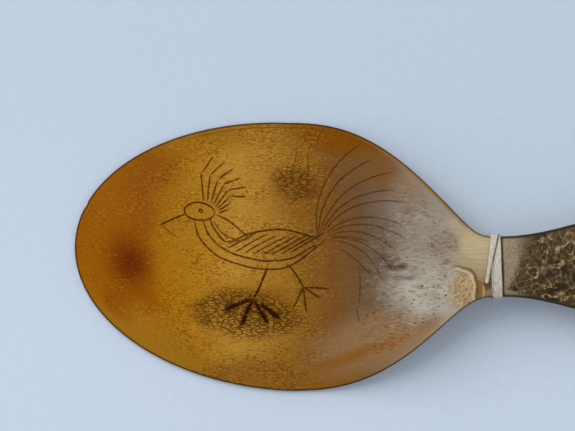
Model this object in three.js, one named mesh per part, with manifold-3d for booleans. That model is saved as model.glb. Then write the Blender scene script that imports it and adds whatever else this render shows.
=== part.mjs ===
// A horn spoon: a thin carved bowl with an integral neck, glued by a half-lap to a thicker horn handle,
// with the seam bound by a narrow flat strip. It lies hollow side down, on its rim and its handle's end.
// Millimetres, +Z up. X runs from the bowl's tip (-X) to the handle's end (+X), and Z = 0 is the surface
// that the spoon rests on.
import * as THREE from "three";
import { mergeVertices } from "three/addons/utils/BufferGeometryUtils.js";
import Module from "manifold-3d";

// Whole spoon
const LENGTH = 190;
const TIP_X = -LENGTH / 2;
const GAP = 0.3; // clearance between pieces that touch

// Bowl outline, measured from the tip. Its two sides flare out of the neck differently: `ends` is the
// distance from the tip at which a side's flare has died out, `slip` shifts its turn towards the neck,
// and `fullness` rounds it.
const BOWL_HALF_WIDTH = 26.9;
const WIDEST_AT = 43;
const NECK_TO = 84.4;
const TIP_LEAN = 1.9; // of the tip towards +Y
const LEFT_SHOULDER = { neckY: 4.2, ends: 83.9, slip: 1.23, fullness: 0.56 };
const RIGHT_SHOULDER = { neckY: -7.85, ends: 84.8, slip: 1.3, fullness: 0.54 };
const HANDLE_Y = (LEFT_SHOULDER.neckY + RIGHT_SHOULDER.neckY) / 2;

// Bowl heights
const CROWN_RISE = 11.2; // of the outside above its own edge, at the widest section
const HOLLOW_DEPTH = 10.9;
const NECK_CROWN = 1;
const RIM_THICKNESS = 0.9;
const NECK_THICKNESS = 2.8;
const THICKENS_FROM = 58; // from the tip
const LAND = 0.067; // share of the section that the flat rim takes up
const RIM_LIFTS_FROM = 46; // from the tip
const RIM_LIFT = 7;
const LAP_FROM = 77; // the neck's underside is level from here on
const OUTSIDE_FALLS_TO = 78;

// Handle
const HANDLE_TIP_X = LENGTH / 2;
const SHOULDER_X = TIP_X + NECK_TO + GAP; // the step that the neck's end meets
const TONGUE_CLEARANCE = 0.7; // from the tongue's tip to where the neck's underside drops away
const TONGUE_X = TIP_X + LAP_FROM + TONGUE_CLEARANCE;
const HANDLE_NECK_HALF_WIDTH = 6;
const HANDLE_HALF_WIDTH = 12.4;
const FLARE_FROM_X = -9.5;
const FLARE_TO_X = 24.5;
const HANDLE_END_HALF_WIDTH = 10.6;
const NARROWS_FROM_X = 35;
const END_ROUND = 14; // length of the handle's rounded end
const ARCH_HEIGHT = 5.2; // of the underside above the surface
const ARCH_X = 22;
const FOOT_X = 88; // the underside comes down to the surface here
const HANDLE_THICKNESS = 4.2;
const HANDLE_CROWN = 1.6;
const THINNED_BY_X = 8; // the handle has come down to its own thickness here

// Lap glue
const RESIN_THICKNESS = 0.5;
const RESIN_HALF_WIDTH = 5.6;

// Binding strip
const STRIP_WIDTH = 1.9;
const STRIP_THICKNESS = 0.2;
const STRIP_PITCH = 0.28; // radial step from one turn to the next
const FIRST_TURN_X = -11.3;
const MAIN_TURN_X = -10.8;
const MOVES_OVER_FROM = 0.9; // turns between which the strip moves from the first place to the main one
const MOVES_OVER_TO = 1.3;
const TAIL_END_X = -13;
const TAIL_END_WIDTH = 0.8;
const WRAP_HALF_WIDTH = 6.5;
const WRAP_BOTTOM_Z = 3.4;
const WRAP_CORNER = 0.8;
const TURNS_BEFORE_TAIL = 2.28; // from the middle of the underside to the last edge
const TAIL_TURNS = 0.3;
const STRIP_SEGMENTS = 120;

const BOWL_COLOUR = 0xa06c28;
const HANDLE_COLOUR = 0x62513a;
const RESIN_COLOUR = 0x8a5a10;
const STRIP_COLOUR = 0xc8c5b6;

const wasm = await Module();
wasm.setup();

function smooth(value, from, to) {
  return THREE.MathUtils.smoothstep(value, from, to);
}

// 1 at `from`, 0 at `to` and beyond, level at both ends.
function fallOff(value, from, to) {
  return (1 + Math.cos(Math.PI * THREE.MathUtils.clamp((value - from) / (to - from), 0, 1))) / 2;
}

// A closed block of a fine grid, each point of which is placed by place(along 0..1, across -1..1, up 0..1).
function shapedBlock(alongSegments, acrossSegments, place) {
  const box = new THREE.BoxGeometry(1, 1, 1, alongSegments, acrossSegments, 1);
  box.deleteAttribute("normal");
  box.deleteAttribute("uv");
  const block = mergeVertices(box);
  const points = block.getAttribute("position");
  for (let i = 0; i < points.count; i++) {
    const placed = place(points.getX(i) + 0.5, points.getY(i) * 2, points.getZ(i) + 0.5);
    points.setXYZ(i, placed.x, placed.y, placed.z);
  }
  block.computeVertexNormals();
  return block;
}

function solidOf(geometry) {
  const bare = geometry.clone();
  bare.deleteAttribute("normal");
  bare.deleteAttribute("uv");
  const merged = mergeVertices(bare);
  return new wasm.Manifold(
    new wasm.Mesh({
      numProp: 3,
      vertProperties: merged.getAttribute("position").array,
      triVerts: new Uint32Array(merged.index.array),
    }),
  );
}

function geometryOf(solid) {
  const mesh = solid.getMesh();
  const geometry = new THREE.BufferGeometry();
  geometry.setAttribute("position", new THREE.BufferAttribute(mesh.vertProperties, 3));
  geometry.setIndex(new THREE.BufferAttribute(mesh.triVerts, 1));
  geometry.computeVertexNormals();
  return geometry;
}

// Distance of one side's edge from the bowl's axis, behind the widest section. The flare and the neck are
// added as cubes, so that one runs out smoothly into the other.
function shoulderReach(fromTip, shoulder) {
  const way = THREE.MathUtils.clamp((fromTip - WIDEST_AT) / (shoulder.ends - WIDEST_AT), 0, 1);
  const fall = (1 + Math.cos(Math.PI * way ** shoulder.slip)) / 2;
  const neckCubed = Math.abs(shoulder.neckY) ** 3;
  return Math.cbrt(THREE.MathUtils.lerp(neckCubed, BOWL_HALF_WIDTH ** 3, fall ** (3 * shoulder.fullness)));
}

// Plan position of a grid point. The tip is half a disc laid out as a square, the rest plain strips.
const TIP_SEGMENTS = 8;
const BODY_SEGMENTS = 16;
const BOWL_ACROSS = 12;

function bowlPlan(along, across) {
  const column = along * (TIP_SEGMENTS + BODY_SEGMENTS);
  const side = Math.sin((across * Math.PI) / 2);
  if (column < TIP_SEGMENTS) {
    const out = Math.sin(((1 - column / TIP_SEGMENTS) * Math.PI) / 2);
    const fromTip = WIDEST_AT * (1 - out * Math.sqrt(1 - side ** 2 / 2));
    return {
      fromTip,
      y: TIP_LEAN * (1 - fromTip / WIDEST_AT) + BOWL_HALF_WIDTH * side * Math.sqrt(1 - out ** 2 / 2),
      inside: (1 - out ** 2) * (1 - side ** 2),
    };
  }
  const fromTip = WIDEST_AT + ((NECK_TO - WIDEST_AT) * (column - TIP_SEGMENTS)) / BODY_SEGMENTS;
  const left = shoulderReach(fromTip, LEFT_SHOULDER);
  const right = shoulderReach(fromTip, RIGHT_SHOULDER);
  return { fromTip, y: (left - right) / 2 + ((left + right) / 2) * side, inside: 1 - side ** 2 };
}

function bowlPoint(along, across, up) {
  const { fromTip, y, inside } = bowlPlan(along, across);
  const lift = RIM_LIFT * smooth(fromTip, RIM_LIFTS_FROM, LAP_FROM);
  const edge = THREE.MathUtils.lerp(RIM_THICKNESS, NECK_THICKNESS, smooth(fromTip, THICKENS_FROM, LAP_FROM));
  const rise = NECK_CROWN + (CROWN_RISE - NECK_CROWN) * fallOff(fromTip, WIDEST_AT, OUTSIDE_FALLS_TO);
  const hollow = HOLLOW_DEPTH * fallOff(fromTip, WIDEST_AT, LAP_FROM);
  const outside = edge + rise * inside;
  const inner = hollow * (Math.max(0, inside - LAND) / (1 - LAND));
  return { x: TIP_X + fromTip, y, z: lift + (up > 0.5 ? outside : inner) };
}

const LAP_UNDERSIDE_Z = RIM_LIFT;
const RESIN_BOTTOM_Z = LAP_UNDERSIDE_Z - GAP - RESIN_THICKNESS;
const TONGUE_TOP_Z = RESIN_BOTTOM_Z - GAP;

function archBottom(x) {
  const drop = ARCH_HEIGHT / (FOOT_X - ARCH_X) ** 2;
  return Math.max(0, ARCH_HEIGHT - drop * (x - ARCH_X) ** 2);
}

const HANDLE_ALONG = 26;
const HANDLE_END_SEGMENTS = 6;
const HANDLE_ACROSS = 8;
const CUT_MARGIN = 5; // how far the lap's cut reaches past the handle on its open sides

function handlePoint(along, across, up) {
  const column = along * (HANDLE_ALONG + HANDLE_END_SEGMENTS);
  const straightTo = HANDLE_TIP_X - END_ROUND;
  let x = TONGUE_X + ((straightTo - TONGUE_X) * column) / HANDLE_ALONG;
  let side = across;
  let inside = 1 - across ** 2;
  if (column > HANDLE_ALONG) {
    const out = Math.sin((((column - HANDLE_ALONG) / HANDLE_END_SEGMENTS) * Math.PI) / 2);
    x = straightTo + END_ROUND * out * Math.sqrt(1 - across ** 2 / 2);
    side = across * Math.sqrt(1 - out ** 2 / 2);
    inside = (1 - across ** 2) * (1 - out ** 2);
  }
  const flare = smooth(x, FLARE_FROM_X, FLARE_TO_X);
  const narrowing = smooth(x, NARROWS_FROM_X, HANDLE_TIP_X) * (HANDLE_HALF_WIDTH - HANDLE_END_HALF_WIDTH);
  const halfWidth = THREE.MathUtils.lerp(HANDLE_NECK_HALF_WIDTH, HANDLE_HALF_WIDTH, flare) - narrowing;
  const neckTop = LAP_UNDERSIDE_Z + NECK_THICKNESS;
  const thinned = smooth(x, SHOULDER_X, THINNED_BY_X);
  const bottom = archBottom(x);
  const edgeTop = THREE.MathUtils.lerp(neckTop, bottom + HANDLE_THICKNESS, thinned);
  const crown = THREE.MathUtils.lerp(NECK_CROWN, HANDLE_CROWN, thinned);
  return {
    x,
    y: HANDLE_Y + halfWidth * side,
    z: up > 0.5 ? edgeTop + crown * inside : bottom,
  };
}

// The handle's slab runs on under the neck, and everything above the tongue is cut away there.
function handleGeometry() {
  const slab = solidOf(shapedBlock(HANDLE_ALONG + HANDLE_END_SEGMENTS, HANDLE_ACROSS, handlePoint));
  const length = SHOULDER_X - TONGUE_X + CUT_MARGIN;
  const width = 2 * (HANDLE_NECK_HALF_WIDTH + CUT_MARGIN);
  const height = LAP_UNDERSIDE_Z + NECK_THICKNESS + NECK_CROWN - TONGUE_TOP_Z + CUT_MARGIN;
  const cutter = new THREE.BoxGeometry(length, width, height);
  cutter.translate(SHOULDER_X - length / 2, HANDLE_Y, TONGUE_TOP_Z + height / 2);
  return geometryOf(slab.subtract(solidOf(cutter)));
}

function resinGeometry() {
  const length = SHOULDER_X - TONGUE_X - GAP;
  const plate = new THREE.BoxGeometry(length, 2 * RESIN_HALF_WIDTH, RESIN_THICKNESS);
  plate.translate(TONGUE_X + length / 2, HANDLE_Y, RESIN_BOTTOM_Z + RESIN_THICKNESS / 2);
  return plate;
}

// The closed line that a turn of the strip follows round the neck, in the YZ plane, from the middle of the
// underside up the +Y side.
function wrapPath() {
  const half = WRAP_HALF_WIDTH;
  const low = WRAP_BOTTOM_Z;
  const edgeZ = LAP_UNDERSIDE_Z + NECK_THICKNESS + GAP;
  const crownZ = edgeZ + 2 * NECK_CROWN; // a quadratic curve reaches half-way to its control point
  const path = new THREE.Path();
  path.moveTo(0, low);
  path.lineTo(half - WRAP_CORNER, low);
  path.absarc(half - WRAP_CORNER, low + WRAP_CORNER, WRAP_CORNER, -Math.PI / 2, 0);
  path.lineTo(half, edgeZ - WRAP_CORNER);
  path.absarc(half - WRAP_CORNER, edgeZ - WRAP_CORNER, WRAP_CORNER, 0, Math.PI / 2);
  path.quadraticCurveTo(0, crownZ, -half + WRAP_CORNER, edgeZ);
  path.absarc(-half + WRAP_CORNER, edgeZ - WRAP_CORNER, WRAP_CORNER, Math.PI / 2, Math.PI);
  path.lineTo(-half, low + WRAP_CORNER);
  path.absarc(-half + WRAP_CORNER, low + WRAP_CORNER, WRAP_CORNER, Math.PI, (3 * Math.PI) / 2);
  path.lineTo(0, low);
  return path;
}

// One strip, wound outwards like a watch spring, each turn lying on the last.
function bindingGeometry() {
  const path = wrapPath();
  const turns = TURNS_BEFORE_TAIL + TAIL_TURNS;
  const place = (along, across, up) => {
    const turn = along * turns;
    const at = turn % 1;
    const point = path.getPointAt(at);
    const tangent = path.getTangentAt(at);
    const lift = STRIP_PITCH * turn + STRIP_THICKNESS * up;
    const moved = smooth(turn, MOVES_OVER_FROM, MOVES_OVER_TO);
    const wound = THREE.MathUtils.lerp(FIRST_TURN_X, MAIN_TURN_X, moved);
    const tail = smooth(turn, TURNS_BEFORE_TAIL, turns);
    const width = THREE.MathUtils.lerp(STRIP_WIDTH, TAIL_END_WIDTH, tail);
    return {
      x: THREE.MathUtils.lerp(wound, TAIL_END_X, tail) + (across * width) / 2,
      y: HANDLE_Y + point.x + tangent.y * lift,
      z: point.y - tangent.x * lift,
    };
  };
  return shapedBlock(STRIP_SEGMENTS, 1, place);
}

function mesh(name, geometry, colour, roughness) {
  const material = new THREE.MeshStandardMaterial({ color: colour, roughness, metalness: 0 });
  const made = new THREE.Mesh(geometry, material);
  made.name = name;
  return made;
}

const spoon = new THREE.Group();
const bowlBlock = shapedBlock(TIP_SEGMENTS + BODY_SEGMENTS, BOWL_ACROSS, bowlPoint);
spoon.add(mesh("bowl", bowlBlock, BOWL_COLOUR, 0.35));
spoon.add(mesh("handle", handleGeometry(), HANDLE_COLOUR, 0.8));
spoon.add(mesh("lap_resin", resinGeometry(), RESIN_COLOUR, 0.2));
spoon.add(mesh("neck_binding", bindingGeometry(), STRIP_COLOUR, 0.85));

export default spoon;
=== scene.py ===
import math
from collections import namedtuple

import bpy
import numpy as np
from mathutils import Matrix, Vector, geometry, kdtree


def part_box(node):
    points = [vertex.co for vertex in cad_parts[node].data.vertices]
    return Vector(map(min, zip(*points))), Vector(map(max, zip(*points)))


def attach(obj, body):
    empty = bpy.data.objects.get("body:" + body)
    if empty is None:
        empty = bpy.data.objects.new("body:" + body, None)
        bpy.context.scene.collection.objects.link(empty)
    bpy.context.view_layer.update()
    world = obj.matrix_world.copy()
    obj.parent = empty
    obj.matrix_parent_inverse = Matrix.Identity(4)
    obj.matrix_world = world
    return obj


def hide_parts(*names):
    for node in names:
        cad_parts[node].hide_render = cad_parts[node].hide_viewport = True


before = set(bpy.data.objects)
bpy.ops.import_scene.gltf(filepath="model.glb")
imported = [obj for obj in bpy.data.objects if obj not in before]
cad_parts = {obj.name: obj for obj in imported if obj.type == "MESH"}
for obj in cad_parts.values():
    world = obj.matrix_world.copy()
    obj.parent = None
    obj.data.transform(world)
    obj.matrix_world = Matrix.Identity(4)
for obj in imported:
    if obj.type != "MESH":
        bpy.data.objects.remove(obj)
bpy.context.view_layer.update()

# A horn spoon lying hollow side down: lengths are in millimetres until a mesh is made. X runs from the
# bowl's tip to the handle's end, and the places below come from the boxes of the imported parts.
MM = 0.001


def corners(node):
    low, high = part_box(node)
    return Vector(low) / MM, Vector(high) / MM


BOWL_LOW, BOWL_HIGH = corners("bowl")
HANDLE_LOW, HANDLE_HIGH = corners("handle")
RESIN_LOW, RESIN_HIGH = corners("lap_resin")

# The bowl's outline and heights, as the part has them.
TIP_X = BOWL_LOW.x
NECK_END_X = BOWL_HIGH.x
NECK_TO = NECK_END_X - TIP_X
BOWL_HALF_WIDTH = 26.9
WIDEST_AT = 43.0
TIP_LEAN = 1.9
LEFT_SHOULDER = {"neck": 4.2, "ends": 83.9, "slip": 1.23, "fullness": 0.56}
RIGHT_SHOULDER = {"neck": 7.85, "ends": 84.8, "slip": 1.3, "fullness": 0.54}
CROWN_RISE = 11.2
HOLLOW_DEPTH = 10.9
NECK_CROWN = 1.0
RIM_THICKNESS = 0.9
NECK_THICKNESS = 2.8
THICKENS_FROM = 58.0
LAND = 0.067
RIM_LIFTS_FROM = 46.0
RIM_LIFT = 7.0
LAP_FROM = 77.0
OUTSIDE_FALLS_TO = 78.0

# The handle, as the part has it.
SHOULDER_X = NECK_END_X + 0.3
TONGUE_TOP_Z = 5.9
NECK_Y = (HANDLE_LOW.y + HANDLE_HIGH.y) / 2
HANDLE_NECK_HALF_WIDTH = 6.0
HANDLE_HALF_WIDTH = (HANDLE_HIGH.y - HANDLE_LOW.y) / 2
HANDLE_END_HALF_WIDTH = 10.6
FLARE_FROM_X = -9.5
FLARE_TO_X = 24.5
NARROWS_FROM_X = 35.0
END_ROUND = 14.0
ARCH_HEIGHT = 5.2
ARCH_X = 22.0
FOOT_X = 88.0
HANDLE_THICKNESS = 4.2
HANDLE_CROWN = 1.6
THINNED_BY_X = 8.0


# ---- numbers

def lerp(low, high, share):
    return low + (high - low) * share


def smooth(value, low, high):
    share = np.clip((value - low) / (high - low), 0, 1)
    return share * share * (3 - 2 * share)


def fall_off(value, start, end):
    return (1 + np.cos(np.pi * np.clip((value - start) / (end - start), 0, 1))) / 2


def lumps(x, y, size, seed):
    """Smooth noise from -1 to 1, with lumps about `size` across."""
    table = np.random.default_rng(seed).uniform(-1, 1, (256, 256))
    u = np.asarray(x) / size
    v = np.asarray(y) / size
    i = np.floor(u).astype(int)
    j = np.floor(v).astype(int)
    across = smooth(u - i, 0, 1)
    up = smooth(v - j, 0, 1)
    low = lerp(table[i & 255, j & 255], table[(i + 1) & 255, j & 255], across)
    high = lerp(table[i & 255, (j + 1) & 255], table[(i + 1) & 255, (j + 1) & 255], across)
    return lerp(low, high, up)


def rough(x, y, size, seed, layers=3):
    """Lumps with finer lumps on them."""
    total = 0
    for layer in range(layers):
        total = total + lumps(x, y, size / 2**layer, seed + layer) / 2**layer
    return total / (2 - 2 ** (1 - layers))


def rounding(distance, radius):
    """How far a rounded edge of that radius has dropped at a distance in from it."""
    inward = np.clip(distance / radius, 0, 1)
    return radius * (1 - np.sqrt(1 - (1 - inward) ** 2))


# ---- meshes

def mesh_piece(name, points, faces, values=None):
    """A smooth closed mesh from points in millimetres, with a number per point for each of `values`."""
    mesh = bpy.data.meshes.new(name)
    mesh.from_pydata([tuple(p) for p in np.asarray(points) * MM], [], faces)
    mesh.update()
    for key, numbers in (values or {}).items():
        layer = mesh.attributes.new(key, "FLOAT", "POINT")
        layer.data.foreach_set("value", np.asarray(numbers, np.float32))
    mesh.shade_smooth()
    piece = bpy.data.objects.new(name, mesh)
    bpy.context.scene.collection.objects.link(piece)
    return piece


def flipped(faces, start=0):
    """Faces that look the other way, with their points numbered on from a start."""
    return [tuple(number + start for number in reversed(face)) for face in faces]


def stitched(first, second):
    """Quads between two rings of point numbers, of equal length."""
    around = zip(first, first[1:] + first[:1], second[1:] + second[:1], second)
    return [tuple(quad) for quad in around]


def grid_faces(rows, columns):
    starts = [i * columns + j for i in range(rows - 1) for j in range(columns - 1)]
    return [(a, a + columns, a + columns + 1, a + 1) for a in starts]


def grid_ring(rows, columns):
    """The border of a grid, anticlockwise where rows run along X and columns along Y."""
    low = [i * columns for i in range(rows)]
    end = [(rows - 1) * columns + j for j in range(1, columns)]
    high = [i * columns + columns - 1 for i in range(rows - 2, -1, -1)]
    back = list(range(columns - 2, 0, -1))
    return low + end + high + back


def closed_slab(top, bottom, side_rows=1):
    """Points and faces of a solid between two grids of points (rows, columns, 3)."""
    rows, columns = top.shape[:2]
    count = rows * columns
    points = [top.reshape(-1, 3), bottom.reshape(-1, 3)]
    faces = grid_faces(rows, columns)
    faces += flipped(faces, count)
    border = grid_ring(rows, columns)
    rings = [border]
    for row in range(1, side_rows):
        start = 2 * count + (row - 1) * len(border)
        rings.append(list(range(start, start + len(border))))
        points.append(lerp(points[0][border], points[1][border], row / side_rows))
    rings.append([number + count for number in border])
    for upper, lower in zip(rings, rings[1:]):
        faces += flipped(stitched(upper, lower))
    return np.concatenate(points), faces


def nearest(points, targets):
    """The index of the nearest target to each plan point, and how far it is."""
    tree = kdtree.KDTree(len(targets))
    for number, (x, y) in enumerate(targets):
        tree.insert((x, y, 0), number)
    tree.balance()
    found = [tree.find((x, y, 0)) for x, y in points]
    return np.array([f[1] for f in found]), np.array([f[2] for f in found])


def even_steps(points, step):
    """A polyline's points moved to even steps along it."""
    lengths = np.concatenate([[0], np.cumsum(np.linalg.norm(np.diff(points, axis=0), axis=1))])
    count = max(2, int(round(lengths[-1] / step)) + 1)
    at = np.linspace(0, lengths[-1], count)
    return np.stack([np.interp(at, lengths, points[:, k]) for k in range(points.shape[1])], axis=1)


# ---- bowl shape

def reach(from_tip, shoulder):
    way = np.clip((from_tip - WIDEST_AT) / (shoulder["ends"] - WIDEST_AT), 0, 1)
    fall = (1 + np.cos(np.pi * way ** shoulder["slip"])) / 2
    flare = fall ** (3 * shoulder["fullness"])
    return np.cbrt(lerp(shoulder["neck"] ** 3, BOWL_HALF_WIDTH**3, flare))


def inside_share(x, y):
    """1 on the bowl's crown line, 0 on its outline."""
    from_tip = x - TIP_X
    forward = np.clip((WIDEST_AT - from_tip) / WIDEST_AT, 0, None)
    off = (y - TIP_LEAN * forward) / BOWL_HALF_WIDTH
    front = 1 - forward**2 - off**2
    left = reach(from_tip, LEFT_SHOULDER)
    right = reach(from_tip, RIGHT_SHOULDER)
    back = 1 - ((y - (left - right) / 2) / ((left + right) / 2)) ** 2
    return np.clip(np.where(from_tip < WIDEST_AT, front, back), 0, 1)


def rim_height(x):
    return RIM_LIFT * smooth(x - TIP_X, RIM_LIFTS_FROM, LAP_FROM)


def outside_height(x, y):
    from_tip = x - TIP_X
    edge = lerp(RIM_THICKNESS, NECK_THICKNESS, smooth(from_tip, THICKENS_FROM, LAP_FROM))
    rise = NECK_CROWN + (CROWN_RISE - NECK_CROWN) * fall_off(from_tip, WIDEST_AT, OUTSIDE_FALLS_TO)
    return rim_height(x) + edge + rise * inside_share(x, y)


def hollow_height(x, y):
    depth = HOLLOW_DEPTH * fall_off(x - TIP_X, WIDEST_AT, LAP_FROM)
    return rim_height(x) + depth * np.clip(inside_share(x, y) - LAND, 0, 1) / (1 - LAND)


def rim_line(step):
    """The bowl's outline from the neck's left corner round the tip to its right corner."""
    behind = np.linspace(NECK_TO, WIDEST_AT, 400)
    left = np.stack([TIP_X + behind, reach(behind, LEFT_SHOULDER)], axis=1)
    right = np.stack([TIP_X + behind, -reach(behind, RIGHT_SHOULDER)], axis=1)[::-1]
    angle = np.linspace(np.pi / 2, -np.pi / 2, 400)
    forward = np.cos(angle)
    tip_x = TIP_X + WIDEST_AT * (1 - forward)
    tip_y = TIP_LEAN * forward + BOWL_HALF_WIDTH * np.sin(angle)
    tip = np.stack([tip_x, tip_y], axis=1)
    return even_steps(np.concatenate([left, tip[1:-1], right]), step)


def inward(line):
    """Unit vectors to the left of a polyline's direction."""
    way = np.gradient(line, axis=0)
    way /= np.linalg.norm(way, axis=1)[:, None]
    return np.stack([-way[:, 1], way[:, 0]], axis=1)


def hex_points(low, high, spacing):
    """Plan points of a triangular grid over a box."""
    rows = np.arange(low[1], high[1], spacing * math.sqrt(3) / 2)
    columns = np.arange(low[0], high[0], spacing)
    x, y = np.meshgrid(columns, rows)
    x = x + (np.arange(len(rows)) % 2)[:, None] * spacing / 2
    return np.stack([x.ravel(), y.ravel()], axis=1)


def triangulated(border, inner):
    """Triangles over plan points, inside a closed border. The border's points come first."""
    points = np.concatenate([border, inner])
    outline = list(range(len(border)))
    made = geometry.delaunay_2d_cdt([Vector(p) for p in points], [], [outline], 1, 1e-7, True)
    if len(made[0]) != len(points):
        raise ValueError("two plan points of the bowl lie in one place")
    return points, [tuple(face) for face, source in zip(made[2], made[5]) if source]


# ---- engraving

def bow(start, end, sag=0.0, count=16):
    """A shallow arc from start to end that bulges to its left by sag."""
    share = np.linspace(0, 1, count)[:, None]
    start = np.array(start, float)
    along = np.array(end, float) - start
    left = np.array([-along[1], along[0]]) / np.linalg.norm(along)
    return start + along * share + left * (4 * sag * share * (1 - share))


def ray(start, degrees, length, sag=0.0):
    way = np.array([math.cos(math.radians(degrees)), math.sin(math.radians(degrees))])
    return bow(start, np.array(start) + way * length, sag)


def through(knots, count=60):
    """A smooth curve through a few points (Catmull-Rom)."""
    knots = np.array([knots[0], *knots, knots[-1]], float)
    spans = len(knots) - 3
    curve = []
    for at in np.linspace(0, spans - 1e-6, count):
        k = int(at)
        t = at - k
        a, b, c, d = knots[k : k + 4]
        point = 2 * b + (c - a) * t + (2 * a - 5 * b + 4 * c - d) * t**2 + (3 * b - a - 3 * c + d) * t**3
        curve.append(point / 2)
    return np.array(curve)


def oval(centre, radii, turn, count=40):
    angle = np.linspace(0, 2 * math.pi, count)
    x = radii[0] * np.cos(angle)
    y = radii[1] * np.sin(angle)
    c = math.cos(math.radians(turn))
    s = math.sin(math.radians(turn))
    return np.stack([centre[0] + x * c - y * s, centre[1] + x * s + y * c], axis=1)


Stroke = namedtuple("Stroke", "points half_width depth stain ragged", defaults=(0.16, 0.12, 0.8, 0.0))
BIRD_HEAD = (25.2, 9.1)
BIRD_RUMP = (48.8, 3.5)


def crest_strokes():
    """A fan of feathers round the back of the head. The longer ones have a bent outer part."""
    made = []
    for k in range(8):
        around = math.radians(84 - 13 * k)
        heading = 97 - 11 * k
        root = (BIRD_HEAD[0] + 0.6 + 3.4 * math.cos(around), BIRD_HEAD[1] + 2.3 * math.sin(around))
        quill = ray(root, heading, 5.4 - 0.5 * k)
        made.append(Stroke(quill, stain=0.85))
        if k < 6:
            outer = quill[-1] + (0.3, 0.3)
            made.append(Stroke(ray(outer, heading - 42, 3.5 - 0.1 * k)))
    return made


def body_strokes():
    breast = through([(24.2, 7.3), (25.8, 3.2), (29.8, -0.1), (36.4, -2.1), (42.8, -1.8), (49.7, 3.1)])
    belly = through([(25.8, 7.5), (27.6, 3.9), (31.4, 1.0), (37.4, -0.6), (43.2, -0.2), (48.2, 2.5)])
    nape = through([(27.4, 7.6), (28.4, 5.4), (30.4, 3.0)])
    back = bow((31.1, 2.7), BIRD_RUMP, 2.4)
    made = [Stroke(line, 0.17, 0.13, 0.85) for line in (breast, belly, nape, back)]
    made.append(Stroke(bow((28.8, 8.3), (35.1, 3.6), 0.5)))
    made.append(Stroke(bow((28.1, 7.0), (34.2, 3.4), -1.1), 0.14, 0.1, 0.7))
    made.append(Stroke(bow((30.4, 3.0), (35.1, 3.6)), 0.15, 0.1, 0.7))
    for k in range(8):
        start = (31 + 1.75 * k, 1.8 - 0.5 * k + 0.055 * k**2)
        made.append(Stroke(ray(start, 29, 6.2 + 0.25 * k, 0.05), 0.15, 0.11, 0.8))
    return made


def head_strokes():
    beak_root = (BIRD_HEAD[0] - 2.8, BIRD_HEAD[1] - 0.5)
    made = [Stroke(oval(BIRD_HEAD, (3.0, 1.75), -6), 0.17, 0.13, 0.9)]
    made.append(Stroke(bow(beak_root, (17.6, 6.5)), 0.17, 0.13, 0.9))
    made.append(Stroke(oval((BIRD_HEAD[0] + 0.3, BIRD_HEAD[1] + 0.1), (0.34, 0.3), 0, 14), 0.14, 0.12, 0.9))
    return made


def plume_strokes():
    """Tail feathers that rise from the rump and arch over backwards, longest in front."""
    made = []
    for k in range(10):
        heading = math.radians(99 - 11.5 * k + 1.6 * math.sin(2.1 * k))
        length = (19.6 - 0.8 * k) * (1 + 0.035 * math.sin(3.3 * k + 1))
        out = np.array([math.cos(heading), math.sin(heading)])
        leant = heading - math.radians(34)
        root = BIRD_RUMP + out * (0.8 + 0.25 * k)
        bend = root + out * length * 0.55
        tip = root + np.array([math.cos(leant), math.sin(leant)]) * length
        share = np.linspace(0, 1, 30)[:, None]
        feather = root * (1 - share) ** 2 + 2 * bend * share * (1 - share) + tip * share**2
        made.append(Stroke(feather, 0.15, 0.1, 0.6 - 0.025 * k))
    return made


def leg_strokes():
    front_ankle = np.array((35.9, -8.1))
    back_ankle = np.array((45.9, -5.8))
    made = [Stroke(bow((38.6, -2.1), front_ankle, 0.25), 0.2, 0.15, 0.95)]
    made.append(Stroke(bow((42.6, -1.2), back_ankle, 0.2), 0.17, 0.13, 0.85))
    for heading, length in ((-4, 4.8), (-34, 3.9), (-84, 5.0), (-116, 4.6)):
        made.append(Stroke(ray(back_ankle, heading, length), 0.17, 0.12, 0.8))
    for heading, start, length in ((202, 0.4, 5.2), (247, 0.5, 4.9), (300, 0.6, 4.8), (322, 1.7, 4.6)):
        toe = ray(front_ankle, heading, start + length)
        toe = toe[np.linalg.norm(toe - front_ankle, axis=1) >= start]
        made.append(Stroke(toe, 0.35, 0.2, 1.0, ragged=0.7))
    return made


def stray_strokes():
    """Scratches that belong to no drawing."""
    lines = [
        bow((17.5, 6.4), (20.8, 4.1)),
        bow((23.7, -0.6), (24.5, -1.4)),
        bow((24.5, -1.4), (25, 0.0)),
        bow((53, 1.8), (59.2, -3.4), 0.3),
        bow((57, -3.2), (56.9, -8.8), 0.1),
        bow((56.4, -10.4), (56.9, -12.6)),
        bow((51.4, 4.1), (58.5, 3.2), 0.4),
        bow((44.6, 21.6), (43.4, 16.4), 0.2),
        bow((46.7, 20.8), (46.5, 14.8), 0.2),
    ]
    return [Stroke(line, 0.12, 0.07, 0.5) for line in lines]


def engraving():
    """All the strokes, moved from places measured from the bowl's tip to the spoon's own."""
    groups = (head_strokes, crest_strokes, body_strokes, plume_strokes, leg_strokes, stray_strokes)
    strokes = [stroke for group in groups for stroke in group()]
    return [stroke._replace(points=stroke.points + (TIP_X, 0)) for stroke in strokes]


STROKE_STEP = 0.13
HAND_SHAKE = 0.09
STROKE_OFFSETS = (0.0, -0.5, 0.5, -1.0, 1.0, -1.7, 1.7)
WIDE_STROKE_OFFSETS = (0.0, -0.3, 0.3, -0.6, 0.6, -0.85, 0.85, -1.1, 1.1, -1.6, 1.6)


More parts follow.
